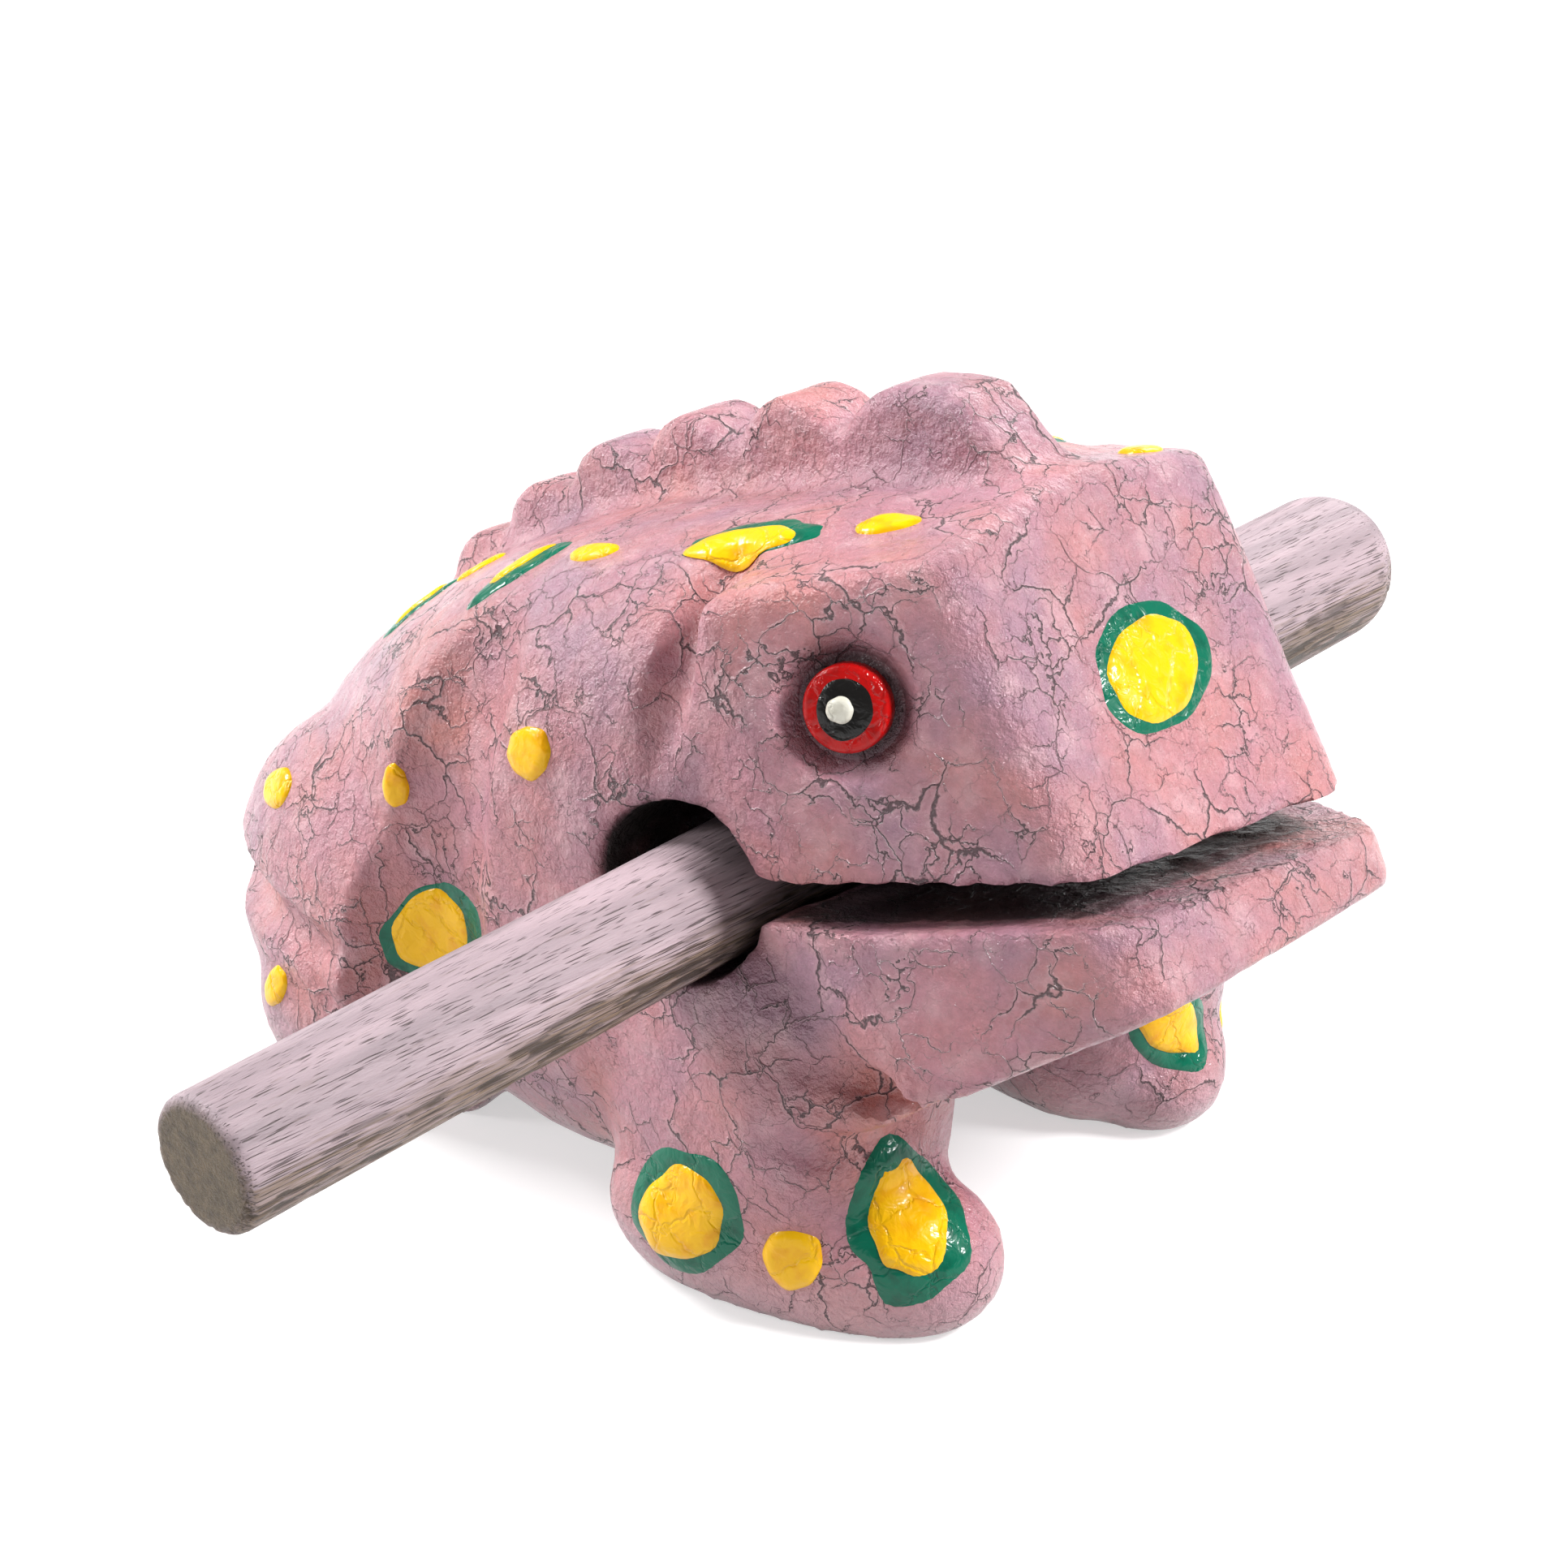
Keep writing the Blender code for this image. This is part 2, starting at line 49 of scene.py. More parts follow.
def linear(colour: str) -> tuple[float, float, float, float]:
    """Turn an sRGB hex colour to linear.

    Args:
        colour: the colour as "#rrggbb".

    Returns:
        Linear red, green, blue and an alpha of one.
    """
    parts = [int(colour[place:place + 2], 16) / 255 for place in (1, 3, 5)]
    red, green, blue = [part / 12.92 if part <= 0.04045 else ((part + 0.055) / 1.055) ** 2.4 for part in parts]
    return red, green, blue, 1.0


def add_node(tree: bpy.types.NodeTree, kind: str, inputs: dict[int | str, object] | None = None,
             **settings: object) -> bpy.types.Node:
    """Add a node with its settings, values and links.

    Args:
        tree: the tree that the node goes in.
        kind: Blender's name of the node's type.
        inputs: socket name or number to a value, or to an output socket that is linked to it.
        settings: the node's own settings.

    Returns:
        The new node.
    """
    node = tree.nodes.new(kind)
    for name, value in settings.items():
        setattr(node, name, value)
    for socket, value in (inputs or {}).items():
        if isinstance(value, bpy.types.NodeSocket):
            tree.links.new(value, node.inputs[socket])
        else:
            node.inputs[socket].default_value = value
    return node


def fresh_material(name: str) -> tuple[bpy.types.Material, bpy.types.NodeTree, bpy.types.Node]:
    """Make an empty material.

    Args:
        name: the material's name.

    Returns:
        The material, its node tree and its Principled shader.
    """
    material = bpy.data.materials.new(name)
    material.use_nodes = True
    tree = material.node_tree
    return material, tree, tree.nodes["Principled BSDF"]


def place_in_mm(tree: bpy.types.NodeTree) -> bpy.types.NodeSocket:
    """Add the nodes that give the shaded point's place in millimetres.

    Args:
        tree: the material's tree.

    Returns:
        The place's socket.
    """
    place = add_node(tree, "ShaderNodeTexCoord").outputs["Object"]
    return add_node(tree, "ShaderNodeVectorMath", {0: place, "Scale": 1 / MM}, operation="SCALE").outputs[0]


def only(piece: bpy.types.Object) -> None:
    """Leave nothing selected but one piece, and make it the active one."""
    if bpy.context.object and bpy.context.object.mode != "OBJECT":
        bpy.ops.object.mode_set(mode="OBJECT")
    bpy.ops.object.select_all(action="DESELECT")
    piece.select_set(True)
    bpy.context.view_layer.objects.active = piece


def apply_modifier(piece: bpy.types.Object, kind: str, **settings: object) -> None:
    """Add a modifier and apply it at once.

    Args:
        piece: the piece that it shapes.
        kind: Blender's name of the modifier's type.
        settings: the modifier's settings.
    """
    only(piece)
    modifier = piece.modifiers.new(kind.lower(), kind)
    for name, value in settings.items():
        setattr(modifier, name, value)
    bpy.ops.object.modifier_apply(modifier=modifier.name)


def ease(share: float) -> float:
    """Give a smooth step from 0 to 1."""
    share = min(1.0, max(0.0, share))
    return share * share * (3 - 2 * share)


@dataclass(frozen=True)
class CrackledLacquer:
    """Crackle lacquer on carved softwood: brushed on thick, it shrank and split into curled islands.

    The islands are satin, the lips along their splits carry a painted highlight, and the dark sealed undercoat
    shows in the splits.
    """

    mauve: str = "#be838f"
    lilac: str = "#aa7f90"
    salmon: str = "#cd8178"
    pale: str = "#dcb2b8"
    # the dark colour in the splits, also used for the dirt and painted shade round the eyes
    ground_and_shade: str = "#33292c"
    # painted shade: the near-black colour of the closed-in saw cut and bore
    cut_shade_colour: str = "#1a1513"
    big_cell_mm: float = 6.4
    small_cell_mm: float = 2.7
    big_split_mm: float = 0.17
    small_split_mm: float = 0.085
    grit_relief_mm: float = 0.46
    swell_relief_mm: float = 0.35
    lip_relief_mm: float = 0.10
    split_depth_mm: float = 0.22
    salmon_spots_mm: tuple[tuple[float, float, float, float], ...] = (
        (44.0, 6.0, 32.0, 12.0), (-15.0, -27.0, 39.0, 9.0), (-1.0, -1.0, 63.0, 5.5),
        (29.0, -21.0, 19.0, 8.0), (10.0, -20.0, 57.0, 6.0), (-36.0, -24.0, 16.0, 5.0))
    eye_places_mm: tuple[tuple[float, float, float], ...] = ((22.0, -21.9, 50.2), (22.0, 19.5, 50.2))
    # dirt and painted shade in the eyes' grooves and dishes
    eye_dirt_and_shade_mm: tuple[float, float] = (3.9, 5.1)
    eye_dirt_and_shade: float = 0.85

    def build(self) -> bpy.types.Material:
        """Build the material.

        Returns:
            The material.
        """
        material, tree, shader = fresh_material("crackled_lacquer_on_softwood")
        mm = place_in_mm(tree)
        colour = self._colour(tree, mm)
        split, lip = self._splits(tree, mm)
        # Painted highlight: the lips beside the splits are painted paler.
        painted_lip_highlight = add_node(tree, "ShaderNodeMath", {0: lip, 1: 0.30}, operation="MULTIPLY")
        colour = add_node(tree, "ShaderNodeMix", {0: painted_lip_highlight.outputs[0], 6: colour, 7: linear(self.pale)},
                          data_type="RGBA").outputs[2]
        ground_and_shade = add_node(tree, "ShaderNodeMix", {0: split, 6: colour, 7: linear(self.ground_and_shade)}, data_type="RGBA")
        # Dirt and painted shade: the eyes' grooves and dishes are painted darker, in the splits' dark colour.
        for middle in self.eye_places_mm:
            far = add_node(tree, "ShaderNodeVectorMath", {0: mm, 1: middle}, operation="DISTANCE")
            groove_dirt_and_shade = add_node(tree, "ShaderNodeMapRange", {0: far.outputs["Value"], 1: self.eye_dirt_and_shade_mm[0],
                                                         2: self.eye_dirt_and_shade_mm[1], 3: self.eye_dirt_and_shade, 4: 0.0})
            ground_and_shade = add_node(tree, "ShaderNodeMix", {0: groove_dirt_and_shade.outputs[0], 6: ground_and_shade.outputs[2],
                                                      7: linear(self.ground_and_shade)}, data_type="RGBA")
        # Painted shade: the saw cut and the bore are painted near black, and dull, where they are closed in.
        cut_shade = add_node(tree, "ShaderNodeAttribute", attribute_name="painted_shade_in_cuts")
        ground_and_shade = add_node(tree, "ShaderNodeMix", {0: cut_shade.outputs["Fac"], 6: ground_and_shade.outputs[2],
                                                  7: linear(self.cut_shade_colour)}, data_type="RGBA")
        rough = add_node(tree, "ShaderNodeTexNoise", {"Vector": mm, "Scale": 0.55, "Detail": 2.0})
        rough = add_node(tree, "ShaderNodeMapRange", {0: rough.outputs[0], 1: 0.3, 2: 0.7, 3: 0.26, 4: 0.50})
        dull = add_node(tree, "ShaderNodeMath", {0: split, 1: cut_shade.outputs["Fac"]}, operation="MAXIMUM")
        rough = add_node(tree, "ShaderNodeMix", {0: dull.outputs[0], 2: rough.outputs[0], 3: 0.8},
                         data_type="FLOAT")
        grit = add_node(tree, "ShaderNodeTexNoise", {"Vector": mm, "Scale": 1.3, "Detail": 4.0, "Roughness": 0.66})
        swell = add_node(tree, "ShaderNodeTexNoise", {"Vector": mm, "Scale": 0.35, "Detail": 1.0})
        height = 0.0
        for relief, depth in ((grit.outputs[0], self.grit_relief_mm), (swell.outputs[0], self.swell_relief_mm),
                              (lip, self.lip_relief_mm), (split, -self.split_depth_mm)):
            height = add_node(tree, "ShaderNodeMath", {0: relief, 1: depth, 2: height},
                              operation="MULTIPLY_ADD").outputs[0]
        bump = add_node(tree, "ShaderNodeBump", {"Height": height, "Strength": 1.0, "Distance": MM})
        tree.links.new(ground_and_shade.outputs[2], shader.inputs["Base Color"])
        tree.links.new(rough.outputs[0], shader.inputs["Roughness"])
        tree.links.new(bump.outputs[0], shader.inputs["Normal"])
        tree.links.new(bump.outputs[0], shader.inputs["Coat Normal"])
        shader.inputs["IOR"].default_value = 1.5
        shader.inputs["Specular IOR Level"].default_value = 0.3
        shader.inputs["Coat Weight"].default_value = 0.55
        shader.inputs["Coat Roughness"].default_value = 0.12
        return material

    def _colour(self, tree: bpy.types.NodeTree, mm: bpy.types.NodeSocket) -> bpy.types.NodeSocket:
        """Blend the washes of colour, from patches tens of millimetres wide down to specks.

        Args:
            tree: the material's tree.
            mm: place in millimetres.

        Returns:
            The colour's socket.
        """
        broad = add_node(tree, "ShaderNodeTexNoise", {"Vector": mm, "Scale": 0.055, "Detail": 2.0})
        broad = add_node(tree, "ShaderNodeMapRange", {0: broad.outputs[0], 1: 0.40, 2: 0.60})
        colour = add_node(tree, "ShaderNodeMix", {0: broad.outputs[0], 6: linear(self.lilac),
                                                  7: linear(self.mauve)}, data_type="RGBA").outputs[2]
        warm = add_node(tree, "ShaderNodeTexNoise", {"Vector": mm, "Scale": 0.12, "Detail": 3.0})
        warm = add_node(tree, "ShaderNodeMapRange", {0: warm.outputs[0], 1: 0.30, 2: 0.72, 3: -0.25, 4: 0.65},
                        clamp=False).outputs[0]
        for x, y, z, reach in self.salmon_spots_mm:
            far = add_node(tree, "ShaderNodeVectorMath", {0: mm, 1: (x, y, z)}, operation="DISTANCE")
            near = add_node(tree, "ShaderNodeMapRange", {0: far.outputs["Value"], 1: 0.2 * reach, 2: 1.2 * reach,
                                                         3: 0.5, 4: 0.0})
            warm = add_node(tree, "ShaderNodeMath", {0: warm, 1: near.outputs[0]}, operation="ADD").outputs[0]
        warm = add_node(tree, "ShaderNodeClamp", {0: warm, 1: 0.0, 2: 0.85})
        colour = add_node(tree, "ShaderNodeMix", {0: warm.outputs[0], 6: colour, 7: linear(self.salmon)},
                          data_type="RGBA").outputs[2]
        height = add_node(tree, "ShaderNodeSeparateXYZ", {0: mm})
        low = add_node(tree, "ShaderNodeMapRange", {0: height.outputs[2], 1: 1.0, 2: 9.0, 3: 0.6, 4: 0.0})
        pale = add_node(tree, "ShaderNodeTexNoise", {"Vector": mm, "Scale": 0.30, "Detail": 3.0})
        pale = add_node(tree, "ShaderNodeMapRange", {0: pale.outputs[0], 1: 0.52, 2: 0.75, 3: 0.0, 4: 0.5})
        pale = add_node(tree, "ShaderNodeMath", {0: pale.outputs[0], 1: low.outputs[0]}, operation="MAXIMUM")
        colour = add_node(tree, "ShaderNodeMix", {0: pale.outputs[0], 6: colour, 7: linear(self.pale)},
                          data_type="RGBA").outputs[2]
        speck = add_node(tree, "ShaderNodeTexNoise", {"Vector": mm, "Scale": 1.1, "Detail": 4.0, "Roughness": 0.7})
        speck = add_node(tree, "ShaderNodeMapRange", {0: speck.outputs[0], 1: 0.3, 2: 0.7, 3: 0.84, 4: 1.08})
        return add_node(tree, "ShaderNodeVectorMath", {0: colour, "Scale": speck.outputs[0]},
                        operation="SCALE").outputs[0]

    def _splits(self, tree: bpy.types.NodeTree,
                mm: bpy.types.NodeSocket) -> tuple[bpy.types.NodeSocket, bpy.types.NodeSocket]:
        """Draw the splits as two nets of torn lines, and the lips that curl up beside them.

        Args:
            tree: the material's tree.
            mm: place in millimetres.

        Returns:
            The sockets of the split and of the lip, each from 0 to 1.
        """
        torn = mm
        for size, reach in ((3.4, 3.2), (0.8, 0.9), (0.25, 0.25)):
            shake = add_node(tree, "ShaderNodeTexNoise", {"Vector": mm, "Scale": 1 / size, "Detail": 2.0})
            shake = add_node(tree, "ShaderNodeVectorMath", {0: shake.outputs["Color"], 1: (0.5, 0.5, 0.5)},
                             operation="SUBTRACT")
            torn = add_node(tree, "ShaderNodeVectorMath", {0: shake.outputs[0], 1: (reach, reach, reach), 2: torn},
                            operation="MULTIPLY_ADD").outputs[0]
        split, lip = None, None
        nets = ((self.big_cell_mm, self.big_split_mm, 0.13, 0.48, 0.68),
                (self.small_cell_mm, self.small_split_mm, 0.16, 0.51, 0.66))
        for cell, width, patch, start, full in nets:
            edge = add_node(tree, "ShaderNodeTexVoronoi", {"Vector": torn, "Scale": 1 / cell},
                            feature="DISTANCE_TO_EDGE")
            edge = add_node(tree, "ShaderNodeMath", {0: edge.outputs["Distance"], 1: cell}, operation="MULTIPLY")
            worn = add_node(tree, "ShaderNodeTexNoise", {"Vector": mm, "Scale": patch, "Detail": 3.0})
            wide = add_node(tree, "ShaderNodeMapRange", {0: worn.outputs[0], 1: start, 2: full, 3: 0.004, 4: width})
            line = add_node(tree, "ShaderNodeMath", {0: edge.outputs[0], 1: wide.outputs[0]}, operation="DIVIDE")
            core = add_node(tree, "ShaderNodeMapRange", {0: line.outputs[0], 1: 0.35, 2: 1.0, 3: 0.85, 4: 0.0})
            curl = add_node(tree, "ShaderNodeMapRange", {0: line.outputs[0], 1: 1.0, 2: 4.0, 3: 1.0, 4: 0.0})
            if split is None:
                split, lip = core.outputs[0], curl.outputs[0]
            else:
                split, lip = [add_node(tree, "ShaderNodeMath", {0: known, 1: fresh.outputs[0]},
                                       operation="MAXIMUM").outputs[0]
                              for known, fresh in ((split, core), (lip, curl))]
        return split, lip


class Paint(Enum):
    """The hobby enamels of the spots and eyes: sRGB colour and the deeper colour where it lies thin."""

    YELLOW = ("#ffc400", "#f2a300")
    GREEN = ("#006a50", "#014a38")
    RED = ("#c30c0b", "#8d0808")
    BLACK = ("#191716", "#0d0c0b")
    WHITE = ("#e9e6d8", "#c9c3b0")


@dataclass(frozen=True)
class DabbedEnamel:
    """Brushed enamel, dabbed on thick: glossy, with a skin that wrinkles a little as it dries."""

    paint: Paint
    wrinkle_mm: float = 1.3

    def build(self) -> bpy.types.Material:
        """Build the material.

        Returns:
            The material.
        """
        material, tree, shader = fresh_material(f"dabbed_enamel_{self.paint.name.lower()}")
        full, thin = self.paint.value
        mm = place_in_mm(tree)
        cloud = add_node(tree, "ShaderNodeTexNoise", {"Vector": mm, "Scale": 0.6, "Detail": 4.0})
        cloud = add_node(tree, "ShaderNodeMapRange", {0: cloud.outputs[0], 1: 0.50, 2: 0.78})
        colour = add_node(tree, "ShaderNodeMix", {0: cloud.outputs[0], 6: linear(full), 7: linear(thin)},
                          data_type="RGBA")
        skin = add_node(tree, "ShaderNodeTexNoise", {"Vector": mm, "Scale": 1 / self.wrinkle_mm, "Detail": 3.0,
                                                     "Distortion": 0.6})
        crease = add_node(tree, "ShaderNodeVectorMath", {0: skin.outputs["Color"], 1: (1.6, 1.6, 1.6), 2: mm},
                          operation="MULTIPLY_ADD")
        crease = add_node(tree, "ShaderNodeTexVoronoi", {"Vector": crease.outputs[0], "Scale": 0.24},
                          feature="DISTANCE_TO_EDGE")
        crease = add_node(tree, "ShaderNodeMapRange", {0: crease.outputs["Distance"], 1: 0.0, 2: 0.05})
        skin = add_node(tree, "ShaderNodeMath", {0: crease.outputs[0], 1: 0.45, 2: skin.outputs[0]},
                        operation="MULTIPLY_ADD")
        bump = add_node(tree, "ShaderNodeBump", {"Height": skin.outputs[0], "Strength": 0.6, "Distance": 0.3 * MM})
        tree.links.new(colour.outputs[2], shader.inputs["Base Color"])
        tree.links.new(bump.outputs[0], shader.inputs["Normal"])
        tree.links.new(bump.outputs[0], shader.inputs["Coat Normal"])
        shader.inputs["Roughness"].default_value = 0.30
        shader.inputs["IOR"].default_value = 1.45
        shader.inputs["Specular IOR Level"].default_value = 0.2
        shader.inputs["Coat Weight"].default_value = 0.30
        shader.inputs["Coat Roughness"].default_value = 0.06
        return material


@dataclass(frozen=True)
class LimeWashedHardwood:
    """Turned open-grained hardwood under a thin lilac-grey wash, which leaves the long pores brown."""

    wash: str = "#bba5ac"
    wash_grey: str = "#9a898f"
    wood: str = "#7a654d"
    pore: str = "#33281f"
    end_grain: str = "#6a5a45"
    fibre_mm: float = 0.30
    fibre_length_mm: float = 7.0

    def build(self) -> bpy.types.Material:
        """Build the material. It reads the attributes "pore", "bare" and "end" that the stick's mesh carries.

        Returns:
            The material.
        """
        material, tree, shader = fresh_material("lime_washed_open_grain_hardwood")
        place = add_node(tree, "ShaderNodeTexCoord")
        fibre = add_node(tree, "ShaderNodeMapping", {
            "Vector": place.outputs["Object"],
            "Scale": (1000 / self.fibre_mm, 1000 / self.fibre_length_mm, 1000 / self.fibre_mm)}).outputs[0]
        streak = add_node(tree, "ShaderNodeTexNoise", {"Vector": fibre, "Scale": 0.16, "Detail": 3.0})
        streak = add_node(tree, "ShaderNodeMapRange", {0: streak.outputs[0], 1: 0.35, 2: 0.65})
        washed = add_node(tree, "ShaderNodeMix", {0: streak.outputs[0], 6: linear(self.wash_grey),
                                                  7: linear(self.wash)}, data_type="RGBA")
        fine = add_node(tree, "ShaderNodeTexNoise", {"Vector": fibre, "Scale": 1.0, "Detail": 4.0,
                                                     "Roughness": 0.6})
        # Browner wood and darker pore lines towards the stick's underside.
        browner_below = add_node(tree, "ShaderNodeAttribute", attribute_name="browner_below")
        show = add_node(tree, "ShaderNodeMath", {0: browner_below.outputs["Fac"], 1: 0.50, 2: -0.16},
                        operation="MULTIPLY_ADD")
        show = add_node(tree, "ShaderNodeMath", {0: show.outputs[0], 1: fine.outputs[0]}, operation="ADD")
        show = add_node(tree, "ShaderNodeMapRange", {0: show.outputs[0], 1: 0.44, 2: 0.78, 3: 0.0, 4: 0.88})
        colour = add_node(tree, "ShaderNodeMix", {0: show.outputs[0], 6: washed.outputs[2], 7: linear(self.wood)},
                          data_type="RGBA")
        hair = add_node(tree, "ShaderNodeMapping", {"Vector": place.outputs["Object"],
                                                    "Scale": (9000.0, 260.0, 9000.0)})
        hair = add_node(tree, "ShaderNodeTexNoise", {"Vector": hair.outputs[0], "Scale": 1.0, "Detail": 1.0})
        hair = add_node(tree, "ShaderNodeMath", {0: browner_below.outputs["Fac"], 1: 0.13, 2: hair.outputs[0]},
                        operation="MULTIPLY_ADD")
        hair = add_node(tree, "ShaderNodeMapRange", {0: hair.outputs[0], 1: 0.62, 2: 0.72, 3: 0.0, 4: 0.75})
        pore = add_node(tree, "ShaderNodeAttribute", attribute_name="pore")
        deep = add_node(tree, "ShaderNodeMath", {0: pore.outputs["Fac"], 1: hair.outputs[0]}, operation="MAXIMUM")
        colour = add_node(tree, "ShaderNodeMix", {0: deep.outputs[0], 6: colour.outputs[2],
                                                  7: linear(self.pore)}, data_type="RGBA")
        end = add_node(tree, "ShaderNodeAttribute", attribute_name="end")
        rings = add_node(tree, "ShaderNodeTexNoise", {"Vector": place.outputs["Object"], "Scale": 1500.0,
                                                      "Detail": 5.0})
        rings = add_node(tree, "ShaderNodeMapRange", {0: rings.outputs[0], 1: 0.3, 2: 0.7, 3: 0.6, 4: 1.25})
        cut = add_node(tree, "ShaderNodeVectorMath", {0: linear(self.end_grain)[:3], "Scale": rings.outputs[0]},
                       operation="SCALE")
        colour = add_node(tree, "ShaderNodeMix", {0: end.outputs["Fac"], 6: colour.outputs[2], 7: cut.outputs[0]},
                          data_type="RGBA")
        relief = add_node(tree, "ShaderNodeMath", {0: hair.outputs[0], 1: -0.8, 2: fine.outputs[0]},
                          operation="MULTIPLY_ADD")
        bump = add_node(tree, "ShaderNodeBump", {"Height": relief.outputs[0], "Strength": 0.9,
                                                 "Distance": 0.22 * MM})
        tree.links.new(colour.outputs[2], shader.inputs["Base Color"])
        tree.links.new(bump.outputs[0], shader.inputs["Normal"])
        shader.inputs["Roughness"].default_value = 0.50
        shader.inputs["IOR"].default_value = 1.45
        return material


@dataclass
class Eye:
    """One turned eye: a dish and groove round a boss, which carries red, black and white enamel."""

    side: int
    place_mm: tuple[float, float, float]
    turn: float = math.radians(24.4)
    lean: float = math.radians(14.5)
    boss_radius: float = 3.2 * MM
    groove_radius: float = 3.9 * MM
    rim_radius: float = 5.5 * MM
    groove_depth: float = 1.7 * MM

    def outward(self) -> Vector:
        """Give the direction that the eye looks in."""
        flat = math.cos(self.lean)
        return Vector((math.sin(self.turn) * flat, self.side * math.cos(self.turn) * flat, math.sin(self.lean)))

    def middle(self) -> Vector:
        """Give the eye's middle on the cheek."""
        return Vector(self.place_mm) * MM

    def _stand(self, offset: float) -> dict[str, object]:
        """Place a primitive on the eye's axis.

        Args:
            offset: how far outward from the cheek its middle is.

        Returns:
            The location and rotation that bpy.ops takes.
        """
        turn = self.outward().to_track_quat("Z", "Y").to_euler()
        return {"location": self.middle() + self.outward() * offset, "rotation": turn}

    def sink(self, body: bpy.types.Object) -> None:
        """Turn the dish and the groove into the cheek.

        Args:
            body: the frog's body.
        """
        slope = (self.rim_radius - self.groove_radius) / self.groove_depth
        spare = 0.6 * MM
        bpy.ops.mesh.primitive_cone_add(vertices=96, radius1=self.groove_radius, end_fill_type="NGON",
                                        radius2=self.rim_radius + slope * spare, depth=self.groove_depth + spare,
                                        **self._stand((spare - self.groove_depth) / 2))
        cutter = bpy.context.object
        apply_modifier(body, "BOOLEAN", operation="DIFFERENCE", object=cutter, solver="EXACT")
        bpy.data.objects.remove(cutter)

    def boss(self, finish: bpy.types.Material, word: str) -> bpy.types.Object:
        """Make the boss, with its edge rounded by the paint.

        Args:
            finish: the red enamel.
            word: which side it is on.

        Returns:
            The boss.
        """
        tall = self.groove_depth + 0.35 * MM
        bpy.ops.mesh.primitive_cylinder_add(vertices=72, radius=self.boss_radius, depth=tall, end_fill_type="NGON",
                                            **self._stand(0.15 * MM - tall / 2))
        piece = bpy.context.object
        piece.name = f"eye_boss_{word}"
        bpy.ops.object.transform_apply(location=True, rotation=True, scale=True)
        top = self.middle() + self.outward() * (0.15 * MM)
        bpy.ops.object.mode_set(mode="EDIT")
        bpy.ops.mesh.select_mode(type="FACE")
        bpy.ops.mesh.select_all(action="DESELECT")
        bpy.ops.object.mode_set(mode="OBJECT")
        for face in piece.data.polygons:
            face.select = face.normal.dot(self.outward()) > 0.9
        bpy.ops.object.mode_set(mode="EDIT")
        for _ in range(4):
            bpy.ops.mesh.inset(thickness=0.45 * MM)
        bpy.ops.mesh.poke()
        bpy.ops.object.mode_set(mode="OBJECT")
        for vert in piece.data.vertices:
            away = vert.co - top
            if away.dot(self.outward()) > -0.01 * MM:
                radius = (away - self.outward() * away.dot(self.outward())).length
                vert.co += self.outward() * (0.22 * MM * (1 - (radius / self.boss_radius) ** 2) - 0.1 * MM)
        apply_modifier(piece, "BEVEL", width=0.4 * MM, segments=4, limit_method="ANGLE",
                       angle_limit=math.radians(50))
        only(piece)
        bpy.ops.object.shade_smooth_by_angle(angle=math.radians(45))
        piece.data.materials.append(finish)
        return piece


